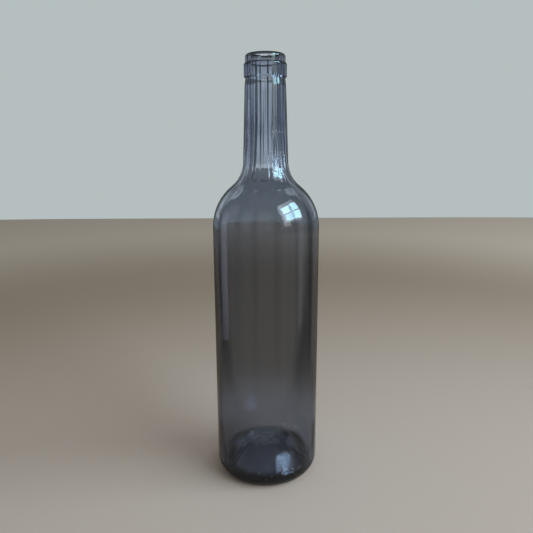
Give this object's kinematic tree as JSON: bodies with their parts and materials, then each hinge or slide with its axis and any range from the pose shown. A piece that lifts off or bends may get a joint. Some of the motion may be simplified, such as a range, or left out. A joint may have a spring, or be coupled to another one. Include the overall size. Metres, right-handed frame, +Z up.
{
  "type": "antique glass bottle",
  "caption": "Tall cylindrical glass bottle with a collared cork mouth, tapered neck, round shoulder and pushed-up base.",
  "frame": {"origin": "centre of the ring that the bottle stands on, at table height", "axes": "+Z up along the bottle's axis of revolution, out of the mouth"},
  "size_m": [0.075, 0.075, 0.3015],
  "materials": {
    "smoky_glass": "clear smoke grey-blue glass, glossy"
  },
  "bodies": {
    "root": {"lip": "smoky_glass", "collar": "smoky_glass", "neck": "smoky_glass", "shoulder": "smoky_glass", "body": "smoky_glass", "heel": "smoky_glass", "push_up": "smoky_glass"}
  },
  "joints": []
}
